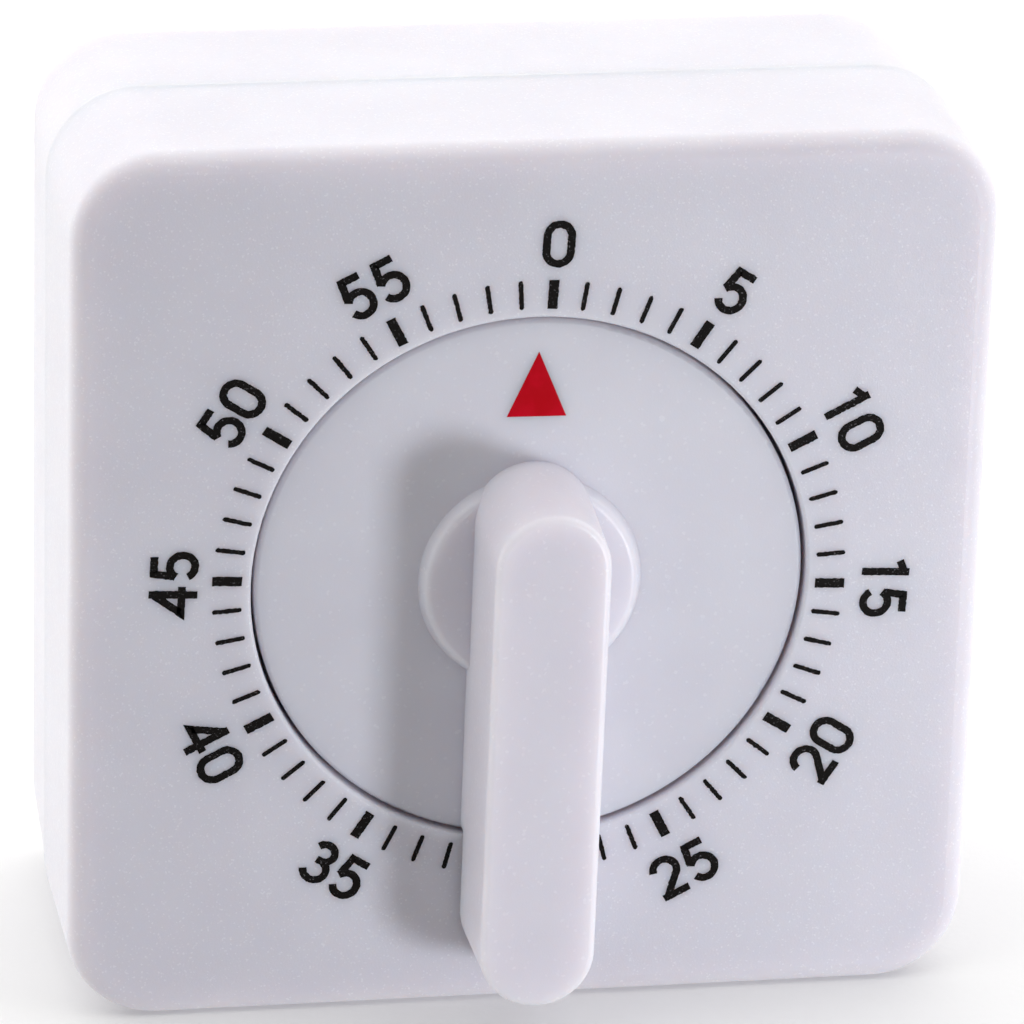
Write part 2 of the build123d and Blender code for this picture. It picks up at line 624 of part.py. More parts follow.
def pinion_arbor(at, module, toward, wheel_front, wheel_thickness, rear=None):
    """Arbor with a pinion cut on it; a gap faces the wheel that drives it."""
    shape = Pos(*at) * pinion_outline(module, direction(at, toward))
    wheel_rear = wheel_front + wheel_thickness
    return arbor(at, rear) + slab(shape, wheel_front - PINION_OVERHANG, wheel_rear + PINION_OVERHANG)


def train_wheel(at, module, toward, start, thickness=WHEEL_THICKNESS, bore=ARBOR_RADIUS):
    """Brass wheel with four round windows; a tooth faces the pinion that it drives."""
    radius = WHEEL_TEETH * module / 2
    phase = direction(at, toward)
    shape = wheel_outline(module, phase) - Circle(bore)
    for turn in range(4):
        shape -= Pos(*polar(0.58 * radius, phase + 45 + 90 * turn)) * Circle(0.24 * radius)
    return slab(Pos(*at) * shape, start, start + thickness)


def great_wheel():
    """First wheel of the train, free on the main arbor."""
    return train_wheel((0, 0), GREAT_MODULE, SECOND, GREAT_WHEEL_FRONT, GREAT_WHEEL_THICKNESS,
                       SEAT_RADIUS + RUNNING_PLAY)


def spacer_washer():
    """Washer between the zero cam and the great wheel."""
    ring = Circle(SEAT_RADIUS + WASHER_WIDTH) - Circle(SEAT_RADIUS + RUNNING_PLAY)
    return slab(ring, ZERO_CAM_FRONT + ZERO_CAM_THICKNESS + PLAY, GREAT_WHEEL_FRONT - PLAY)


def click_tip():
    """Tip of the click, just clear of the ratchet's points."""
    return polar(RATCHET_RADIUS + CLICK_TIP_CLEARANCE, CLICK_TIP_ANGLE)


def click_stud_place():
    """Stud placed so that the click lies along a tangent of the ratchet."""
    reach = RATCHET_RADIUS + CLICK_TIP_CLEARANCE
    return polar(CLICK_STUD_DISTANCE, CLICK_TIP_ANGLE + degrees(acos(reach / CLICK_STUD_DISTANCE)))


def click():
    """Pawl on the great wheel with a beak for the ratchet's teeth."""
    tip = click_tip()
    stud = click_stud_place()
    beak = outline([
        tip,
        beside(tip, stud, 0.7, -0.75),
        beside(tip, stud, 5.5, -0.2),
        beside(tip, stud, 5.5, -1.9),
        beside(tip, stud, 0.1, -1.6),
    ])
    shape = beak + Pos(*stud) * Circle(CLICK_HUB_RADIUS)
    shape += link(stud, beside(tip, stud, 4.5, -1.1), LEVER_WIDTH)
    shape -= Pos(*stud) * Circle(CLICK_STUD_RADIUS + RUNNING_PLAY)
    return slab(shape, RATCHET_FRONT, RATCHET_FRONT + RATCHET_THICKNESS)


def click_stud():
    """Shouldered stud riveted to the great wheel."""
    stud = click_stud_place()
    head_front = RATCHET_FRONT + RATCHET_THICKNESS + RUNNING_PLAY
    body = rod(CLICK_STUD_RADIUS, GREAT_WHEEL_FRONT + GREAT_WHEEL_THICKNESS, head_front, stud)
    return body + rod(CLICK_STUD_HEAD_RADIUS, head_front, head_front + SPRING_STRIP, stud)


def click_spring():
    """Leaf spring that holds the click against the ratchet."""
    tip = click_tip()
    stud = click_stud_place()
    foot = beside(tip, stud, 7.6, -4.0)
    leaf = link(foot, beside(tip, stud, 2.2, -2.25), SPRING_STRIP)
    rear = RATCHET_FRONT + RATCHET_THICKNESS
    body = slab(leaf, RATCHET_FRONT + LEAF_INSET, rear - LEAF_INSET)
    return body + rod(CLICK_STUD_RADIUS, GREAT_WHEEL_FRONT + GREAT_WHEEL_THICKNESS, rear, foot)


def second_arbor():
    """Second arbor, driven by the great wheel."""
    return pinion_arbor(SECOND, GREAT_MODULE, (0, 0), GREAT_WHEEL_FRONT, GREAT_WHEEL_THICKNESS)


def second_wheel():
    """Second wheel, in front of the great wheel."""
    return train_wheel(SECOND, SECOND_MODULE, THIRD, SECOND_WHEEL_FRONT)


def third_arbor():
    """Third arbor; its rear pivot carries the star wheel."""
    rear = STRIKE_FRONT + STRIKE_THICKNESS + PLAY
    return pinion_arbor(THIRD, SECOND_MODULE, SECOND, SECOND_WHEEL_FRONT, WHEEL_THICKNESS, rear)


def third_wheel():
    """Third wheel, behind the great wheel's rim."""
    return train_wheel(THIRD, THIRD_MODULE, ESCAPE, THIRD_WHEEL_FRONT)


def escape_arbor():
    """Arbor of the escape wheel."""
    return pinion_arbor(ESCAPE, THIRD_MODULE, THIRD, THIRD_WHEEL_FRONT, WHEEL_THICKNESS)


def escape_wheel():
    """Pointed teeth; one tooth is on the line to the anchor's arbor."""
    root = ESCAPE_RADIUS - ESCAPE_DEPTH
    tip_half = degrees(0.09 / ESCAPE_RADIUS)
    root_half = degrees(0.42 / root)
    profile = [(root, -root_half), (ESCAPE_RADIUS, -tip_half), (ESCAPE_RADIUS, tip_half), (root, root_half)]
    shape = toothed(ESCAPE_TEETH, direction(ESCAPE, ANCHOR), profile)
    for turn in range(4):
        shape -= Pos(*polar(2.5, 90 * turn)) * Circle(0.9)
    shape = Pos(*ESCAPE) * (shape - Circle(ARBOR_RADIUS))
    return slab(shape, ESCAPE_WHEEL_FRONT, ESCAPE_WHEEL_FRONT + WHEEL_THICKNESS)


# ================================================================ escapement
def pallet_places():
    """The two pallet pins, just clear of the escape wheel's points."""
    half_span = ANCHOR_SPAN_TEETH / 2 * 360 / ESCAPE_TEETH
    reach = ESCAPE_RADIUS + PALLET_CLEARANCE + PALLET_PIN_RADIUS
    middle = direction(ESCAPE, ANCHOR)
    return [polar(reach, middle + side * half_span, ESCAPE) for side in (-1, 1)]


def anchor():
    """Anchor plate that carries the two pallet pins."""
    shape = Pos(*ANCHOR) * Circle(HUB_DISC_RADIUS)
    for pin in pallet_places():
        shape += link(ANCHOR, pin, 2 * ARBOR_RADIUS)
    shape -= Pos(*ANCHOR) * Circle(ARBOR_RADIUS)
    for pin in pallet_places():
        shape -= Pos(*pin) * Circle(PALLET_PIN_RADIUS)
    return slab(shape, ANCHOR_FRONT, ANCHOR_FRONT + ANCHOR_THICKNESS)


def pallet_pins():
    """Two hard pins pressed into the anchor."""
    start = ESCAPE_WHEEL_FRONT - PLAY
    end = ANCHOR_FRONT + ANCHOR_THICKNESS
    return group([rod(PALLET_PIN_RADIUS, start, end, pin) for pin in pallet_places()])


def balance_bar():
    """Inertia bar with a weight at each end, on the anchor's arbor."""
    reach = BALANCE_LENGTH / 2 - BALANCE_WEIGHT_RADIUS
    ends = [polar(reach, BALANCE_ANGLE + turn, ANCHOR) for turn in (0, 180)]
    shape = link(ends[0], ends[1], LEVER_WIDTH) + Pos(*ANCHOR) * Circle(HUB_DISC_RADIUS)
    for end in ends:
        shape += Pos(*end) * Circle(BALANCE_WEIGHT_RADIUS)
    shape -= Pos(*ANCHOR) * Circle(ARBOR_RADIUS)
    return slab(shape, BALANCE_FRONT, BALANCE_FRONT + BALANCE_THICKNESS)


# ================================================================ alarm
def lever_nose_angle():
    """Direction of the lever's nose on the zero cam."""
    reach = ZERO_CAM_RADIUS + LEVER_NOSE_CLEARANCE + LEVER_NOSE_RADIUS
    return direction((0, 0), ALARM_ARBOR) - degrees(acos(reach / hypot(*ALARM_ARBOR)))


def alarm_lever():
    """Lever whose nose rides on the zero cam's rim."""
    angle = lever_nose_angle()
    reach = ZERO_CAM_RADIUS + LEVER_NOSE_CLEARANCE + LEVER_NOSE_RADIUS
    nose = polar(reach, angle)
    elbow = polar(reach + LEVER_OFFSET, angle)
    shape = link(ALARM_ARBOR, elbow, LEVER_WIDTH) + link(elbow, nose, 2 * LEVER_NOSE_RADIUS)
    shape += Pos(*ALARM_ARBOR) * Circle(HUB_DISC_RADIUS)
    shape -= Pos(*ALARM_ARBOR) * Circle(ARBOR_RADIUS)
    return slab(shape, ZERO_CAM_FRONT, ZERO_CAM_FRONT + ZERO_CAM_THICKNESS)


def alarm_arbor():
    """Arbor that joins the alarm lever to the hold-off arm."""
    return arbor(ALARM_ARBOR, STRIKE_FRONT + STRIKE_THICKNESS + PLAY)


def hold_off_arm():
    """Arm behind the rear plate that keeps the hammer away from the star wheel."""
    below = HAMMER_FINGER_WIDTH / 2 + HOLD_OFF_GAP + HOLD_OFF_WIDTH / 2
    tip = (HAMMER_STUD[0] - HAMMER_FINGER + HOLD_OFF_LAP, HAMMER_STUD[1] - below)
    shape = link(ALARM_ARBOR, tip, HOLD_OFF_WIDTH) + Pos(*ALARM_ARBOR) * Circle(HUB_DISC_RADIUS)
    shape -= Pos(*ALARM_ARBOR) * Circle(EXTENDED_PIVOT_RADIUS)
    return slab(shape, STRIKE_FRONT, STRIKE_FRONT + STRIKE_THICKNESS)


def lever_spring():
    """Leaf spring that presses the alarm lever on the cam."""
    near = polar(ZERO_CAM_RADIUS + LEVER_NOSE_RADIUS + LEVER_OFFSET, lever_nose_angle())
    end = beside(ALARM_ARBOR, near, LEVER_SPRING_REACH, LEVER_WIDTH / 2 + LEAF_GAP + SPRING_STRIP / 2)
    leaf = link(LEVER_SPRING_POST, end, SPRING_STRIP)
    rear = ZERO_CAM_FRONT + ZERO_CAM_THICKNESS
    body = slab(leaf, ZERO_CAM_FRONT + LEAF_INSET, rear - LEAF_INSET)
    body += rod(SPRING_FOOT_RADIUS, PLATES_INSIDE, rear, LEVER_SPRING_POST)
    return body + rod(STUD_TENON_RADIUS, FRONT_PLATE, PLATES_INSIDE, LEVER_SPRING_POST)


def hammer_tail_tip():
    """Point of the hammer's tail, just clear of the star wheel's points."""
    reach = STAR_RADIUS + HAMMER_TIP_CLEARANCE
    return polar(reach, HAMMER_STUD_ANGLE + degrees(acos(reach / HAMMER_STUD_DISTANCE)), THIRD)


def alarm_star_wheel():
    """Star wheel; a gap faces the hammer's tail."""
    pitch = 360 / STAR_TEETH
    root = STAR_RADIUS - STAR_DEPTH
    tip_half = degrees(0.07 / STAR_RADIUS)
    root_half = degrees(0.36 / root)
    profile = [(root, -root_half), (STAR_RADIUS, -tip_half), (STAR_RADIUS, tip_half), (root, root_half)]
    shape = toothed(STAR_TEETH, direction(THIRD, hammer_tail_tip()) + pitch / 2, profile)
    shape = Pos(*THIRD) * (shape - Circle(EXTENDED_PIVOT_RADIUS))
    return slab(shape, STRIKE_FRONT, STRIKE_FRONT + STRIKE_THICKNESS)


def hammer_stud():
    """Shouldered stud on the rear plate."""
    head_front = STRIKE_FRONT + STRIKE_THICKNESS + PLAY
    stud = rod(HAMMER_STUD_RADIUS, REAR_PLATE_BACK, head_front, HAMMER_STUD)
    stud += rod(STUD_TENON_RADIUS, REAR_PLATE, REAR_PLATE_BACK, HAMMER_STUD)
    return stud + rod(HAMMER_STUD_HEAD_RADIUS, head_front, head_front + STRIKE_THICKNESS / 2, HAMMER_STUD)


def hammer_head_place():
    """Middle of the hammer's head at rest, inside the gong."""
    reach = GONG_RADIUS - GONG_WALL - HAMMER_HEAD_GAP - HAMMER_HEAD_RADIUS
    return polar(reach, HAMMER_HEAD_ANGLE, GONG_CENTRE)


def hammer():
    """Hammer with a pointed tail for the star wheel and a finger for the hold-off arm."""
    tip = hammer_tail_tip()
    head = hammer_head_place()
    finger_end = (HAMMER_STUD[0] - HAMMER_FINGER, HAMMER_STUD[1])
    toward_star = direction(tip, THIRD)
    tail_root = polar(HAMMER_TAIL_POINT, toward_star + 180, tip)
    shape = Pos(*HAMMER_STUD) * Circle(HUB_DISC_RADIUS) + link(HAMMER_STUD, head, LEVER_WIDTH)
    shape += link(HAMMER_STUD, finger_end, HAMMER_FINGER_WIDTH)
    shape += link(HAMMER_STUD, tail_root, HAMMER_TAIL_WIDTH)
    shape += outline([
        polar(HAMMER_TIP_HALF, toward_star + 90, tip),
        polar(HAMMER_TIP_HALF, toward_star - 90, tip),
        polar(HAMMER_TAIL_WIDTH / 2, toward_star - 90, tail_root),
        polar(HAMMER_TAIL_WIDTH / 2, toward_star + 90, tail_root),
    ])
    shape -= Pos(*HAMMER_STUD) * Circle(HAMMER_STUD_RADIUS + RUNNING_PLAY)
    return slab(shape, STRIKE_FRONT, STRIKE_FRONT + STRIKE_THICKNESS)


def hammer_head():
    """Round head at the end of the hammer, inside the gong."""
    head = hammer_head_place()
    start = STRIKE_FRONT + STRIKE_THICKNESS
    body = rod(HAMMER_HEAD_RADIUS, start, start + HAMMER_HEAD_LENGTH, head)
    return fillet(body.edges().filter_by(GeomType.CIRCLE), 0.3)


def hammer_spring():
    """Leaf spring that drives the hammer towards the gong."""
    head = hammer_head_place()
    length = hypot(head[0] - HAMMER_STUD[0], head[1] - HAMMER_STUD[1])
    aside = LEVER_WIDTH / 2 + LEAF_GAP + SPRING_STRIP / 2
    end = beside(HAMMER_STUD, head, length / 2, -aside)
    leaf = link(HAMMER_SPRING_POST, end, SPRING_STRIP)
    rear = STRIKE_FRONT + STRIKE_THICKNESS
    body = slab(leaf, STRIKE_FRONT + LEAF_INSET, rear - LEAF_INSET)
    body += rod(SPRING_FOOT_RADIUS, REAR_PLATE_BACK, rear, HAMMER_SPRING_POST)
    return body + rod(STUD_TENON_RADIUS, REAR_PLATE, REAR_PLATE_BACK, HAMMER_SPRING_POST)


def gong():
    """Pressed steel cup, open towards the movement."""
    cup = rod(GONG_RADIUS, GONG_FRONT, GONG_REAR, GONG_CENTRE)
    cup = fillet(cup.edges().sort_by(Axis.Y)[-1], GONG_EDGE_RADIUS)
    hollow = rod(GONG_RADIUS - GONG_WALL, GONG_FRONT - PAST, GONG_REAR - GONG_WALL, GONG_CENTRE)
    hollow = fillet(hollow.edges().sort_by(Axis.Y)[-1], GONG_EDGE_RADIUS - GONG_WALL)
    return cup - hollow - rod(GONG_SCREW_RADIUS + PLAY, GONG_FRONT, GONG_REAR + PAST, GONG_CENTRE)


def gong_post():
    """Post riveted to the rear plate; the gong sits on its end."""
    post = rod(GONG_POST_RADIUS, REAR_PLATE_BACK, GONG_REAR - GONG_WALL, GONG_CENTRE)
    post += rod(GONG_POST_RADIUS / 2, REAR_PLATE, REAR_PLATE_BACK, GONG_CENTRE)
    hole_end = GONG_REAR - GONG_SCREW_LENGTH - PAST
    return post - rod(GONG_SCREW_RADIUS + SCREW_PLAY, hole_end, GONG_REAR, GONG_CENTRE)


# ================================================================ output
NODES = {
    "front_housing": front_housing,
    "rear_cover": rear_cover,
    "case_screws": lambda: cross_screws(
        CASE_SCREWS, COUNTERBORE_FLOOR, CASE_SCREW_HEAD, CASE_SCREW_HEAD_RADIUS,
        CASE_SCREW_RADIUS, CASE_SCREW_TIP),
    "dial_knob": dial_knob,
    "main_arbor": main_arbor,
    "zero_cam": zero_cam,
    "ratchet_wheel": ratchet_wheel,
    "mainspring": mainspring,
    "front_plate": front_plate,
    "rear_plate": rear_plate,
    "plate_pillars": plate_pillars,
    "pillar_nuts": pillar_nuts,
    "spring_post": spring_post,
    "movement_screws": lambda: slotted_screws(
        MOVEMENT_SCREWS, PLATES_INSIDE, MOVEMENT_SCREW_HEAD, MOVEMENT_SCREW_HEAD_RADIUS,
        MOVEMENT_SCREW_RADIUS, MOVEMENT_SCREW_TIP),
    "great_wheel": great_wheel,
    "spacer_washer": spacer_washer,
    "click": click,
    "click_stud": click_stud,
    "click_spring": click_spring,
    "second_arbor": second_arbor,
    "second_wheel": second_wheel,
    "third_arbor": third_arbor,
    "third_wheel": third_wheel,
    "escape_arbor": escape_arbor,
    "escape_wheel": escape_wheel,
    "anchor_arbor": lambda: arbor(ANCHOR),
    "anchor": anchor,
    "pallet_pins": pallet_pins,
    "balance_bar": balance_bar,
    "alarm_lever": alarm_lever,
    "alarm_arbor": alarm_arbor,
    "hold_off_arm": hold_off_arm,
    "lever_spring": lever_spring,
    "alarm_star_wheel": alarm_star_wheel,
    "hammer_stud": hammer_stud,
    "hammer": hammer,
    "hammer_head": hammer_head,
    "hammer_spring": hammer_spring,
    "gong": gong,
    "gong_post": gong_post,
    "gong_screw": lambda: slotted_screws(
        [GONG_CENTRE], GONG_REAR, GONG_SCREW_HEAD, GONG_POST_RADIUS, GONG_SCREW_RADIUS,
        GONG_REAR - GONG_SCREW_LENGTH),
}

os.makedirs("parts", exist_ok=True)
for name, make in NODES.items():
    export_step(Pos(0, 0, AXIS_HEIGHT) * make(), "parts/" + name + ".step")
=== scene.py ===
import json
from math import cos, hypot, pi, radians, sin

import bmesh
import bpy
from mathutils import Matrix, Vector, noise


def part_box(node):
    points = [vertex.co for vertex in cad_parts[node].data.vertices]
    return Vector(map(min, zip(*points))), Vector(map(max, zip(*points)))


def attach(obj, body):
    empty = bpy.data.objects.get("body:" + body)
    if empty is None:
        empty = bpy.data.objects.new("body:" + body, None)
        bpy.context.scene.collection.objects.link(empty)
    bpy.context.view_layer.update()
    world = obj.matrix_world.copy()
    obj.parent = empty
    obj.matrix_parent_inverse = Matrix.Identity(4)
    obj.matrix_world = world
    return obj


# A wind-up sixty-minute laboratory timer: looks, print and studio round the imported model.
# Metres throughout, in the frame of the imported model: +X right, +Y back, +Z up.
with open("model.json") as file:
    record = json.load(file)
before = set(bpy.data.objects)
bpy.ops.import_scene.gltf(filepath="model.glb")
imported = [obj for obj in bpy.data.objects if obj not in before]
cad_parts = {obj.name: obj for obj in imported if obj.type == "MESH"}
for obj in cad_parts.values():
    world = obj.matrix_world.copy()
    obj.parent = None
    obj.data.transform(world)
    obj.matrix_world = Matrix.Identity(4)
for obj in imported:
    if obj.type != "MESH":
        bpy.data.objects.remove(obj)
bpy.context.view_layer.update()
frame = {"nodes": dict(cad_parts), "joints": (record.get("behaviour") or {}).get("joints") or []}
MM = 0.001

# ---------------------------------------------------------------- places taken from the model
case_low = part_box("front_housing")[0]
FRONT_Y = case_low.y
DIAL_Z = frame["joints"][0]["pos_m"][2]
DISC_RECESS = 0.5 * MM           # the disc stands this far behind the front of the case
DISC_FRONT_Y = FRONT_Y + DISC_RECESS

# ---------------------------------------------------------------- print on the case and dial
INK_THICKNESS = 0.014 * MM
INK_SUNK = 0.02 * MM              # how far the film's underside is sunk into the plastic
INK_STEP = 0.12 * MM              # spacing of the points along an inked edge
INK_WOBBLE = 0.052 * MM           # unevenness of an inked edge
INK_WOBBLE_SPACING = 0.16 * MM    # distance over which an inked edge wanders
INK_WOBBLE_APART = 3 * MM         # keeps the wander along X and Z independent
SAME_PLACE = 1e-9                 # points closer than this are one point
STROKE_LIFT = 0.0015 * MM         # each stroke of a digit lies this much above the one before
PRINT_TURN = 2.65                 # the print sits this far clockwise on the case, in degrees
TICK_INNER = 20.92 * MM
TICK_OUTER = 23.08 * MM
TICK_WIDTH = 0.34 * MM
LONG_TICK_WIDTH = 0.72 * MM
MINUTES = 60
NUMERAL_EVERY = 5
NUMERAL_HIDDEN = 30               # under the handle
NUMERAL_INWARD = (20, 40)         # from the first to the last of these, tops point to the centre
NUMERAL_RADIUS = 25.95 * MM
NUMERAL_SHIFT = (0.12 * MM, -0.18 * MM)
DIGIT_PITCH = 2.6 * MM
DIGIT_HALF_WIDTH = 0.88 * MM
DIGIT_HALF_HEIGHT = 1.475 * MM
STROKE_WIDTH = 0.57 * MM
KNOB_TURN = 0.7                   # the dial sits this far clockwise of upright, in degrees
POINTER_BASE = 12.58 * MM
POINTER_TIP = 17.5 * MM
POINTER_HALF = 2.15 * MM
POINTER_THICKNESS = 0.025 * MM
POINTER_EDGE_THICKNESS = 0.012 * MM
POINTER_EDGE_WIDTH = 0.10 * MM    # width of the sloping edge, towards the middle

# ---------------------------------------------------------------- camera and studio
AIM = Vector((-1.51 * MM, FRONT_Y, DIAL_Z + 5.50 * MM))
CAMERA_DISTANCE = 0.5064
CAMERA_AZIMUTH = -10.307          # degrees; negative is from the left of the dial
CAMERA_ELEVATION = 22.004
CAMERA_ROLL = 1.640
CAMERA_LENS = 249.24              # mm, for the sensor width below
CAMERA_SENSOR = 36
CAMERA_CLIP = (0.01, 50)

# Brightness of the surroundings: (axis, from, to, value before, value after), multiplied together.
TENT = [
    ("Y", -0.85, -0.26, 0.04, 1.52),
    ("Z", -0.9, 0.2, 0.45, 1.0),
]
TENT_COLOUR = (1.0, 0.995, 0.985, 1)
KEY_AZIMUTH = 30                  # degrees; positive is to the right of the dial
KEY_ELEVATION = -12
KEY_DISTANCE = 0.22
KEY_SIZE = 0.042
KEY_POWER = 0.195
KEY_COLOUR = (0.96, 0.975, 1.05)
FLOOR_HALF = 3.0                  # the floor is flat this far from the object
FLOOR_BEND_RADIUS = 1.0           # where it turns up behind
FLOOR_BEND_STEPS = 16
FLOOR_TOP = 3.0


# ================================================================ materials
LIGHT_SPREAD = 3.2 * MM           # how far light wanders inside the white plastic
# white that the plastic's tone and flecks are mixed towards; on the flecks it is partly a painted glint
PEARL_AND_GLINT_WHITE = (0.97, 0.96, 1.0)


def set_range(node, low, high, low_value, high_value):
    """Make a Map Range node go smoothly from one pair of values to another."""
    node.interpolation_type = "SMOOTHSTEP"
    node.inputs["From Min"].default_value = low
    node.inputs["From Max"].default_value = high
    node.inputs["To Min"].default_value = low_value
    node.inputs["To Max"].default_value = high_value


class Shader:
    """Adds and links the nodes of one material."""

    def __init__(self, name):
        self.material = bpy.data.materials.new(name)
        self.material.use_nodes = True
        self.tree = self.material.node_tree
        self.principled = self.tree.nodes["Principled BSDF"]
        self.place = self.add("ShaderNodeTexCoord").outputs["Object"]

    def add(self, kind, **settings):
        """New node of the material."""
        node = self.tree.nodes.new(kind)
        for key, value in settings.items():
            setattr(node, key, value)
        return node

    def join(self, source, target):
        self.tree.links.new(source, target)

    def set(self, **values):
        """Constants on the shader's own sockets."""
        for key, value in values.items():
            self.principled.inputs[key.replace("_", " ")].default_value = value

    def stretched(self, scale):
        """Object coordinates scaled along each axis."""
        mapping = self.add("ShaderNodeMapping")
        mapping.inputs["Scale"].default_value = scale
        self.join(self.place, mapping.inputs["Vector"])
        return mapping.outputs["Vector"]

    def noise(self, size, detail=2.0, rough=0.5, vector=None):
        """Noise with features of about this size, in metres."""
        node = self.add("ShaderNodeTexNoise")
        node.inputs["Scale"].default_value = 1 / size
        node.inputs["Detail"].default_value = detail
        node.inputs["Roughness"].default_value = rough
        self.join(vector or self.place, node.inputs["Vector"])
        return node.outputs["Fac"]

    def flecks(self, size):
        """A random value in each small cell."""
        node = self.add("ShaderNodeTexVoronoi")
        node.inputs["Scale"].default_value = 1 / size
        self.join(self.place, node.inputs["Vector"])
        split = self.add("ShaderNodeSeparateColor")
        self.join(node.outputs["Color"], split.inputs["Color"])
        return split.outputs["Red"]

    def ramp(self, source, low, high, low_value=0.0, high_value=1.0):
        """Map a value smoothly from one range to another."""
        node = self.add("ShaderNodeMapRange")
        set_range(node, low, high, low_value, high_value)
        self.join(source, node.inputs["Value"])
        return node.outputs["Result"]

    def sum(self, first, second, weight=1.0):
        """The first value plus the weighted second."""
        node = self.add("ShaderNodeMath", operation="MULTIPLY_ADD")
        self.join(second, node.inputs[0])
        node.inputs[1].default_value = weight
        self.join(first, node.inputs[2])
        return node.outputs[0]

    def colour(self, factor, dark, light):
        """Base colour mixed between two colours by a factor."""
        mix = self.add("ShaderNodeMix", data_type="RGBA")
        mix.inputs["A"].default_value = (*dark, 1)
        mix.inputs["B"].default_value = (*light, 1)
        self.join(factor, mix.inputs["Factor"])
        self.join(mix.outputs["Result"], self.principled.inputs["Base Color"])

    def roughness(self, factor):
        self.join(factor, self.principled.inputs["Roughness"])

    def bump(self, height, distance):
        """Relief of this depth, in metres, from a value between 0 and 1."""
        node = self.add("ShaderNodeBump")
        node.inputs["Distance"].default_value = distance
        self.join(height, node.inputs["Height"])
        self.join(node.outputs["Normal"], self.principled.inputs["Normal"])


def case_plastic(name, grain):
    """White moulded plastic with a fine spark-eroded texture and pearl flecks, the flecks' lighter colour
    partly a painted glint.
    """
    s = Shader(name)
    s.set(Subsurface_Weight=1.0, Subsurface_Radius=(1.0, 0.80, 0.70), Subsurface_Scale=LIGHT_SPREAD,
          Specular_IOR_Level=0.45)
    clouds = s.noise(9 * MM, 3)
    # pearl flecks in the plastic, lighter in colour: partly their own colour, partly a painted glint
    fleck_and_glint = s.ramp(s.flecks(0.12 * MM), 0.92, 1.0)
    tone = s.sum(s.ramp(clouds, 0.3, 0.7, 0.0, 0.10), fleck_and_glint, 0.34)
    s.colour(tone, (0.718, 0.697, 0.760), PEARL_AND_GLINT_WHITE)
    s.roughness(s.sum(s.ramp(s.noise(0.5 * MM, 3), 0.3, 0.7, 0.40, 0.50), fleck_and_glint, -0.08))
    grains = s.noise(0.16 * MM, 2, 0.6)
    s.bump(s.sum(grains, s.noise(1.1 * MM, 2), 0.5), 0.014 * MM * grain)
    return s.material


def knob_plastic():
    """The knob's smoother white plastic, with pearl specks whose lighter colour is partly a painted glint.
    """
    s = Shader("knob_plastic")
    s.set(Subsurface_Weight=1.0, Subsurface_Radius=(1.0, 0.82, 0.74), Subsurface_Scale=LIGHT_SPREAD,
          Specular_IOR_Level=0.5)
    clouds = s.noise(7 * MM, 3)
    # pearl specks in the plastic, lighter in colour: partly their own colour, partly a painted glint
    specks_and_glint = s.ramp(s.flecks(0.2 * MM), 0.95, 1.0)
    tone = s.sum(s.ramp(clouds, 0.3, 0.7, 0.0, 0.10), specks_and_glint, 0.2)
    s.colour(tone, (0.728, 0.707, 0.770), PEARL_AND_GLINT_WHITE)
    s.roughness(s.sum(s.ramp(s.noise(0.4 * MM, 3), 0.3, 0.7, 0.34, 0.43), specks_and_glint, -0.04))
    s.bump(s.sum(s.noise(0.14 * MM, 2, 0.6), s.noise(1.4 * MM, 2), 0.6), 0.007 * MM)
    return s.material


def ink():
    """Black pad-printing ink, with pinholes where it didn't wet the texture."""
    s = Shader("black_ink")
    pin = s.ramp(s.noise(0.18 * MM, 3, 0.65), 0.60, 0.70)
    s.colour(pin, (0.003, 0.002, 0.0015), (0.13, 0.125, 0.13))
    s.roughness(s.ramp(s.noise(0.1 * MM, 2), 0.3, 0.7, 0.48, 0.68))
    s.bump(s.noise(0.12 * MM, 2, 0.6), 0.012 * MM)
    s.set(Specular_IOR_Level=0.07)
    return s.material


def pointer_red():
    """Glossy red hot-stamped foil with faint scratches."""
    s = Shader("pointer_red")
    patch = s.noise(1.5 * MM, 3)
    s.colour(s.ramp(patch, 0.35, 0.7), (0.49, 0.0004, 0.007), (0.57, 0.001, 0.014))
    scratches = s.noise(0.5 * MM, 3, 0.6, s.stretched((1.0, 1.0, 0.25)))
    s.roughness(s.ramp(scratches, 0.35, 0.7, 0.28, 0.40))
    s.bump(s.sum(scratches, s.noise(0.15 * MM, 2), 0.5), 0.002 * MM)
    s.set(Specular_IOR_Level=0.06)
    return s.material


def metal(name, dark, light, rough, grain_scale, grain_size=0.25 * MM, depth=0.002 * MM):
    """Bare metal with rolled or turned grain, faint stains and uneven polish."""
    s = Shader(name)
    grain = s.noise(grain_size, 4, 0.65, s.stretched(grain_scale))
    stain = s.noise(4 * MM, 3)
    s.colour(s.ramp(s.sum(stain, grain, 0.35), 0.35, 0.95), dark, light)
    polish = s.ramp(grain, 0.3, 0.7, rough - 0.07, rough + 0.07)
    s.roughness(s.sum(polish, s.ramp(stain, 0.4, 0.7), 0.06))
    s.bump(grain, depth)
    s.set(Metallic=1.0)
    return s.material


def turned(name, dark, light, rough):
    """Metal turned on a lathe: rings round the dial's direction."""
    return metal(name, dark, light, rough, (1.0, 9.0, 1.0), 0.6 * MM)


def sheet(name, dark, light, rough):
    """Rolled sheet metal: grain along X."""
    return metal(name, dark, light, rough, (0.06, 1.0, 1.0), 0.2 * MM)


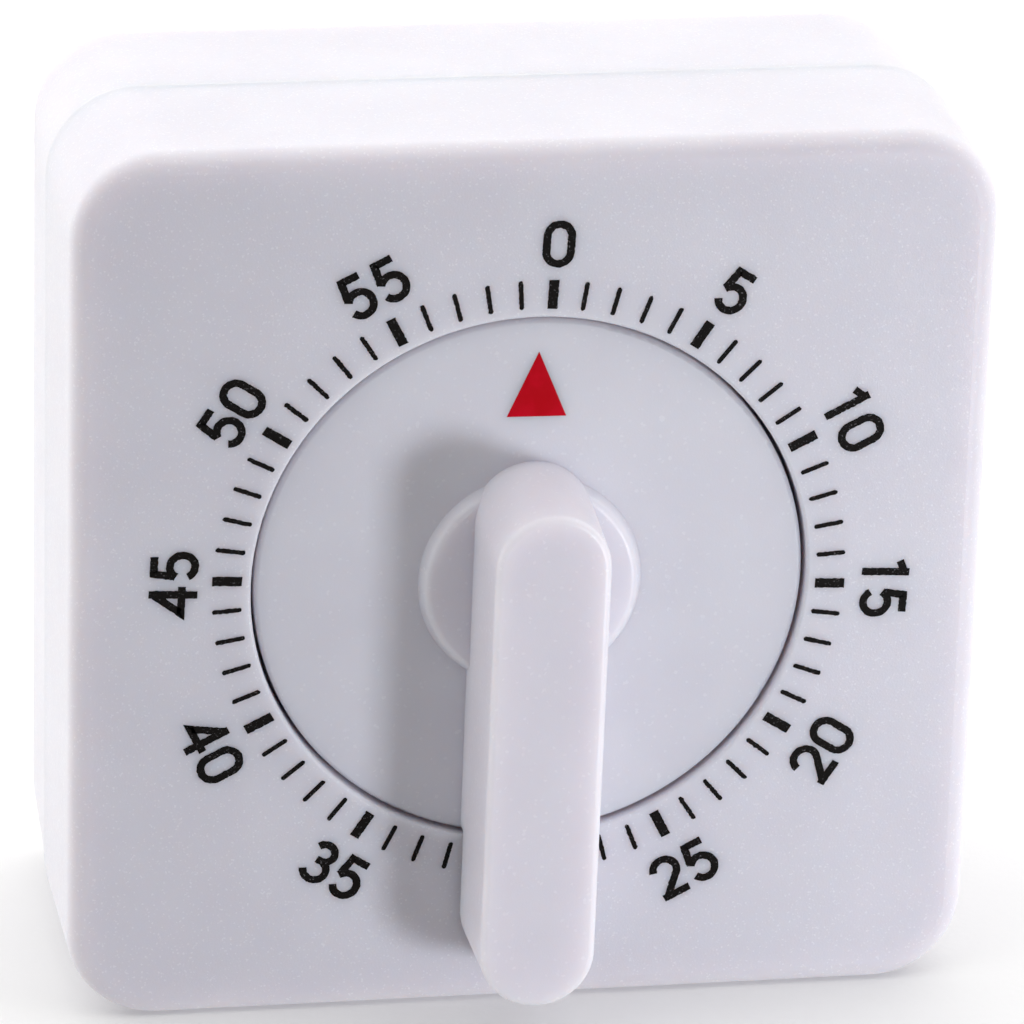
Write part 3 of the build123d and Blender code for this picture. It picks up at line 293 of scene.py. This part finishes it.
def dress_nodes():
    """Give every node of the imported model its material."""
    steel = turned("turned_steel", (0.42, 0.42, 0.43), (0.60, 0.60, 0.61), 0.26)
    stamped = sheet("stamped_steel", (0.38, 0.38, 0.40), (0.56, 0.56, 0.57), 0.36)
    hardened = sheet("hardened_steel", (0.24, 0.25, 0.28), (0.40, 0.40, 0.43), 0.30)
    blued = metal("blued_spring", (0.030, 0.045, 0.105), (0.10, 0.085, 0.15), 0.24, (0.08, 1.0, 0.08))
    plated = turned("zinc_plate", (0.50, 0.52, 0.53), (0.68, 0.69, 0.66), 0.30)
    nickel = metal("nickel_gong", (0.50, 0.48, 0.45), (0.66, 0.64, 0.60), 0.20, (1.0, 1.0, 1.0), 0.4 * MM)
    rolled_brass = sheet("rolled_brass", (0.62, 0.42, 0.14), (0.82, 0.60, 0.26), 0.30)
    turned_brass = turned("turned_brass", (0.60, 0.41, 0.14), (0.80, 0.59, 0.26), 0.24)
    finishes = {
        case_plastic("front_plastic", 1.0): ["front_housing"],
        case_plastic("rear_plastic", 1.3): ["rear_cover"],
        knob_plastic(): ["dial_knob"],
        steel: ["main_arbor", "second_arbor", "third_arbor", "escape_arbor", "anchor_arbor", "alarm_arbor",
                "plate_pillars", "spring_post", "click_stud", "hammer_stud"],
        stamped: ["front_plate", "rear_plate"],
        hardened: ["ratchet_wheel", "click", "anchor", "alarm_lever", "hold_off_arm", "hammer",
                   "pallet_pins"],
        blued: ["mainspring", "click_spring", "lever_spring", "hammer_spring"],
        plated: ["case_screws", "pillar_nuts", "movement_screws", "gong_screw"],
        nickel: ["gong"],
        rolled_brass: ["great_wheel", "second_wheel", "third_wheel", "escape_wheel", "alarm_star_wheel",
                       "balance_bar"],
        turned_brass: ["zero_cam", "spacer_washer", "hammer_head", "gong_post"],
    }
    for material, names in finishes.items():
        for name in names:
            obj = frame["nodes"][name]
            obj.data.materials.clear()
            obj.data.materials.append(material)


# ================================================================ print
def arc(centre, radii, start, end, steps=20):
    """Points of an elliptical arc, angles counter-clockwise in degrees."""
    points = []
    for step in range(steps + 1):
        angle = radians(start + (end - start) * step / steps)
        points.append((centre[0] + radii[0] * cos(angle), centre[1] + radii[1] * sin(angle)))
    return points


def digit_strokes(digit):
    """Centre lines of a digit, as (points, closed), in the digit's own plane."""
    w = DIGIT_HALF_WIDTH
    h = DIGIT_HALF_HEIGHT
    end = STROKE_WIDTH / 2
    if digit == 0:
        upper = arc((0, h - w), (w, w), 0, 180)
        lower = arc((0, w - h), (w, w), 180, 360)
        return [(upper + lower, True)]
    if digit == 1:
        stem = 0.25 * w
        return [([(stem, -h - end), (stem, h + end)], False),
                ([(stem, h - 0.05 * h), (-0.72 * w, 0.68 * h)], False)]
    if digit == 2:
        hook = arc((0, h - w), (w, w), 172, -32)
        return [(hook + [(-0.80 * w, -h)], False),
                ([(-w - 0.5 * end, -h), (w + 0.6 * end, -h)], False)]
    if digit == 3:
        middle = 0.08 * h
        top = (h - middle) / 2
        low = (h + middle) / 2
        return [(arc((0, h - top), (0.84 * w, top), 158, -90) + [(-0.35 * w, middle)], False),
                ([(-0.2 * w, middle - 0.0001 * h)] + arc((0, low - h), (w, low), 90, -158), False)]
    if digit == 4:
        stem = 0.50 * w
        bar = -0.42 * h
        return [([(stem, h), (-1.12 * w, bar), (1.22 * w, bar)], False),
                ([(stem, -h - end), (stem, h + end)], False)]
    if digit == 5:
        bowl = 0.62 * h
        return [([(0.86 * w, h), (-0.66 * w, h), (-0.88 * w, -0.02 * h)], False),
                (arc((0, bowl - h), (w, bowl), 152, -152, 28), False)]
    raise ValueError(digit)


def resampled(points, closed):
    """The same line with evenly spaced extra points, corners kept."""
    ends = points + points[:1] if closed else points
    dense = []
    for a, b in zip(ends, ends[1:]):
        length = hypot(b[0] - a[0], b[1] - a[1])
        if length < SAME_PLACE:
            continue
        count = max(1, round(length / INK_STEP))
        for step in range(count):
            share = step / count
            dense.append((a[0] + share * (b[0] - a[0]), a[1] + share * (b[1] - a[1])))
    return dense if closed else dense + [ends[-1]]


def wobble(place):
    """Small smooth random offset for an inked edge."""
    return INK_WOBBLE * noise.noise(place / INK_WOBBLE_SPACING)


def edge_points(line, closed, half):
    """Left and right edges of a stroke, with mitred corners."""
    count = len(line)
    left = []
    right = []
    for index, (x, z) in enumerate(line):
        before = line[index - 1] if closed or index > 0 else line[index]
        after = line[(index + 1) % count] if closed or index < count - 1 else line[index]
        normals = []
        for a, b in ((before, (x, z)), ((x, z), after)):
            length = hypot(b[0] - a[0], b[1] - a[1])
            if length > SAME_PLACE:
                normals.append(Vector((-(b[1] - a[1]) / length, (b[0] - a[0]) / length)))
        across = sum(normals, Vector((0, 0))).normalized()
        reach = half / max(0.4, across.dot(normals[0]))
        left.append((x + reach * across.x, z + reach * across.y))
        right.append((x - reach * across.x, z - reach * across.y))
    return left, right


def add_stroke(mesh, points, closed, width, place, face_y, lift=0.0):
    """Closed film of ink along a line; place turns the line's plane into the row's X and Z."""
    left, right = edge_points(resampled(points, closed), closed, width / 2)
    rings = []
    for side in (left, right):
        for depth in (face_y - INK_THICKNESS - lift, face_y + INK_SUNK):
            ring = []
            for x, z in side:
                at = place @ Vector((x, 0, z))
                away = Vector((at.x + lift, at.z, 0))
                shift = Vector((wobble(away), 0, wobble(away + Vector((0, 0, INK_WOBBLE_APART)))))
                ring.append(mesh.verts.new((at.x + shift.x, depth, at.z + shift.z)))
            rings.append(ring)
    left_top, left_low, right_top, right_low = rings
    sides = ((left_top, right_top), (right_top, right_low), (right_low, left_low), (left_low, left_top))
    count = len(left_top)
    for index in range(count if closed else count - 1):
        after = (index + 1) % count
        for a, b in sides:
            mesh.faces.new((a[index], a[after], b[after], b[index]))
    if not closed:
        for index in (0, -1):
            mesh.faces.new((left_top[index], right_top[index], right_low[index], left_low[index]))


def finish_mesh(name, mesh, material):
    """Object from a bmesh, with its faces turned outwards."""
    bmesh.ops.recalc_face_normals(mesh, faces=mesh.faces)
    data = bpy.data.meshes.new(name)
    mesh.to_mesh(data)
    mesh.free()
    data.materials.append(material)
    obj = bpy.data.objects.new(name, data)
    bpy.context.scene.collection.objects.link(obj)
    return obj


def clockwise(angle):
    """Turn clockwise as seen from the front, about the dial's axis."""
    return Matrix.Rotation(radians(angle), 4, "Y")


def on_dial(angle, radius, own_turn=0.0, shift=(0.0, 0.0)):
    """Placement at a clockwise angle and a radius from the dial's axis."""
    centre = Matrix.Translation((shift[0], 0, DIAL_Z + shift[1]))
    return centre @ clockwise(angle) @ Matrix.Translation((0, 0, radius)) @ clockwise(own_turn)


def minute_ticks(material):
    """Sixty ticks round the well, every fifth one broad."""
    mesh = bmesh.new()
    half = (TICK_OUTER - TICK_INNER) / 2
    for minute in range(MINUTES):
        place = on_dial(PRINT_TURN + 360 * minute / MINUTES, (TICK_OUTER + TICK_INNER) / 2)
        if minute % NUMERAL_EVERY == 0:
            add_stroke(mesh, [(0, -half), (0, half)], False, LONG_TICK_WIDTH, place, FRONT_Y)
        else:
            add_tick(mesh, half, place)
    return finish_mesh("minute_ticks", mesh, material)


def add_tick(mesh, half, place):
    """Thin tick with round ends."""
    radius = TICK_WIDTH / 2
    upper = arc((0, half - radius), (radius, radius), 0, 180, 6)
    lower = arc((0, radius - half), (radius, radius), 180, 360, 6)
    outline = resampled(upper + lower, True)
    rings = []
    for depth in (FRONT_Y - INK_THICKNESS, FRONT_Y + INK_SUNK):
        ring = []
        for x, z in outline:
            at = place @ Vector((x, 0, z))
            shift = wobble(Vector((at.x, at.z, 0)))
            ring.append(mesh.verts.new((at.x + shift, depth, at.z + shift)))
        rings.append(ring)
    front, rear = rings
    mesh.faces.new(front)
    mesh.faces.new(reversed(rear))
    for index in range(len(front)):
        after = (index + 1) % len(front)
        mesh.faces.new((front[index], rear[index], rear[after], front[after]))


def minute_numerals(material):
    """Numerals round the ticks; the lower ones stand with their tops to the centre."""
    mesh = bmesh.new()
    for value in range(0, MINUTES, NUMERAL_EVERY):
        if value == NUMERAL_HIDDEN:
            continue
        inward = NUMERAL_INWARD[0] <= value <= NUMERAL_INWARD[1]
        angle = PRINT_TURN + 360 * value / MINUTES
        block = on_dial(angle, NUMERAL_RADIUS, 180 if inward else 0, NUMERAL_SHIFT)
        digits = [int(letter) for letter in str(value)]
        for index, digit in enumerate(digits):
            aside = (index - (len(digits) - 1) / 2) * DIGIT_PITCH
            place = block @ Matrix.Translation((aside, 0, 0))
            for layer, (points, closed) in enumerate(digit_strokes(digit)):
                add_stroke(mesh, points, closed, STROKE_WIDTH, place, FRONT_Y, layer * STROKE_LIFT)
    return finish_mesh("minute_numerals", mesh, material)


def pointer(material):
    """Red triangle on the dial disc, with softened edges."""
    mesh = bmesh.new()
    corners = [(-POINTER_HALF, POINTER_BASE), (POINTER_HALF, POINTER_BASE), (0, POINTER_TIP)]
    place = Matrix.Translation((0, 0, DIAL_Z)) @ clockwise(KNOB_TURN)
    rings = []
    middle = sum((Vector(corner) for corner in corners), Vector((0, 0))) / 3
    levels = ((-POINTER_THICKNESS, POINTER_EDGE_WIDTH), (-POINTER_EDGE_THICKNESS, 0.0), (INK_SUNK, 0.0))
    for depth, inset in levels:
        ring = []
        for corner in corners:
            toward = (middle - Vector(corner)).normalized()
            x, z = Vector(corner) + inset * toward
            at = place @ Vector((x, 0, z))
            ring.append(mesh.verts.new((at.x, DISC_FRONT_Y + depth, at.z)))
        rings.append(ring)
    mesh.faces.new(rings[0])
    mesh.faces.new(reversed(rings[-1]))
    for upper, lower in zip(rings, rings[1:]):
        for index in range(3):
            after = (index + 1) % 3
            mesh.faces.new((upper[index], lower[index], lower[after], upper[after]))
    return finish_mesh("pointer_triangle", mesh, material)


def add_print():
    """All print, each piece riding on the body that it is printed on."""
    black = ink()
    for piece in (minute_ticks(black), minute_numerals(black)):
        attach(piece, "case")
    red = pointer(pointer_red())
    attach(red, "dial")


# ================================================================ studio
def add_camera():
    """Camera at the height and side from which the dial is seen."""
    data = bpy.data.cameras.new("camera")
    data.lens = CAMERA_LENS
    data.sensor_width = CAMERA_SENSOR
    data.clip_start, data.clip_end = CAMERA_CLIP
    camera = bpy.data.objects.new("camera", data)
    turn = Matrix.Rotation(radians(CAMERA_AZIMUTH), 4, "Z")
    tilt = Matrix.Rotation(radians(90 - CAMERA_ELEVATION), 4, "X")
    roll = Matrix.Rotation(radians(CAMERA_ROLL), 4, "Z")
    back = Matrix.Translation((0, 0, CAMERA_DISTANCE))
    camera.matrix_world = Matrix.Translation(AIM) @ turn @ tilt @ roll @ back
    bpy.context.scene.collection.objects.link(camera)
    bpy.context.scene.camera = camera


def add_area(name, azimuth, elevation, distance, size, power, colour):
    """Square area light that faces the object; azimuth 0 is in front of the dial, positive to its right."""
    data = bpy.data.lights.new(name, "AREA")
    data.shape = "SQUARE"
    data.size = size
    data.energy = power
    data.color = colour
    lamp = bpy.data.objects.new(name, data)
    lamp.visible_camera = False
    flat = cos(radians(elevation))
    toward = Vector((flat * sin(radians(azimuth)), -flat * cos(radians(azimuth)), sin(radians(elevation))))
    centre = Vector((0, 0, DIAL_Z))
    lamp.location = centre + distance * toward
    lamp.rotation_euler = toward.to_track_quat("Z", "Y").to_euler()
    bpy.context.scene.collection.objects.link(lamp)


def add_floor():
    """Plain pale floor that curves up far behind the object."""
    s = Shader("studio_floor")
    s.colour(s.ramp(s.noise(0.15, 3), 0.3, 0.7), (0.87, 0.87, 0.87), (0.89, 0.89, 0.89))
    s.roughness(s.ramp(s.noise(0.01, 3), 0.3, 0.7, 0.75, 0.85))
    s.bump(s.noise(0.0006, 2), 0.00002)
    mesh = bmesh.new()
    radius = FLOOR_BEND_RADIUS
    profile = [(-FLOOR_HALF, 0.0)]
    for step in range(FLOOR_BEND_STEPS + 1):
        angle = pi / 2 * step / FLOOR_BEND_STEPS
        profile.append((FLOOR_HALF + radius * sin(angle), radius - radius * cos(angle)))
    profile.append((FLOOR_HALF + radius, FLOOR_TOP))
    side = FLOOR_HALF + radius
    rows = [[mesh.verts.new((x, y, z)) for y, z in profile] for x in (-side, side)]
    for index in range(len(profile) - 1):
        mesh.faces.new((rows[0][index], rows[1][index], rows[1][index + 1], rows[0][index + 1]))
    floor = finish_mesh("studio_floor", mesh, s.material)
    floor.visible_diffuse = False     # the object is lit by the tent and the key alone
    floor.visible_shadow = False


def add_world():
    """Surroundings of a light tent: bright above, behind and to the sides, dim round the camera."""
    world = bpy.data.worlds.new("studio")
    world.use_nodes = True
    tree = world.node_tree
    background = tree.nodes["Background"]
    direction = tree.nodes.new("ShaderNodeTexCoord").outputs["Generated"]
    split = tree.nodes.new("ShaderNodeSeparateXYZ")
    tree.links.new(direction, split.inputs["Vector"])
    brightness = None
    for axis, start, end, low, high in TENT:
        ramp = tree.nodes.new("ShaderNodeMapRange")
        set_range(ramp, start, end, low, high)
        tree.links.new(split.outputs[axis], ramp.inputs["Value"])
        if brightness is None:
            brightness = ramp.outputs["Result"]
            continue
        product = tree.nodes.new("ShaderNodeMath")
        product.operation = "MULTIPLY"
        tree.links.new(brightness, product.inputs[0])
        tree.links.new(ramp.outputs["Result"], product.inputs[1])
        brightness = product.outputs[0]
    background.inputs["Color"].default_value = TENT_COLOUR
    tree.links.new(brightness, background.inputs["Strength"])
    bpy.context.scene.world = world


def add_studio():
    """Soft key close to the right of the dial, inside a light tent."""
    add_floor()
    add_world()
    add_area("key", KEY_AZIMUTH, KEY_ELEVATION, KEY_DISTANCE, KEY_SIZE, KEY_POWER, KEY_COLOUR)
    bpy.context.scene.view_settings.view_transform = "Standard"


dress_nodes()
add_print()
add_camera()
add_studio()
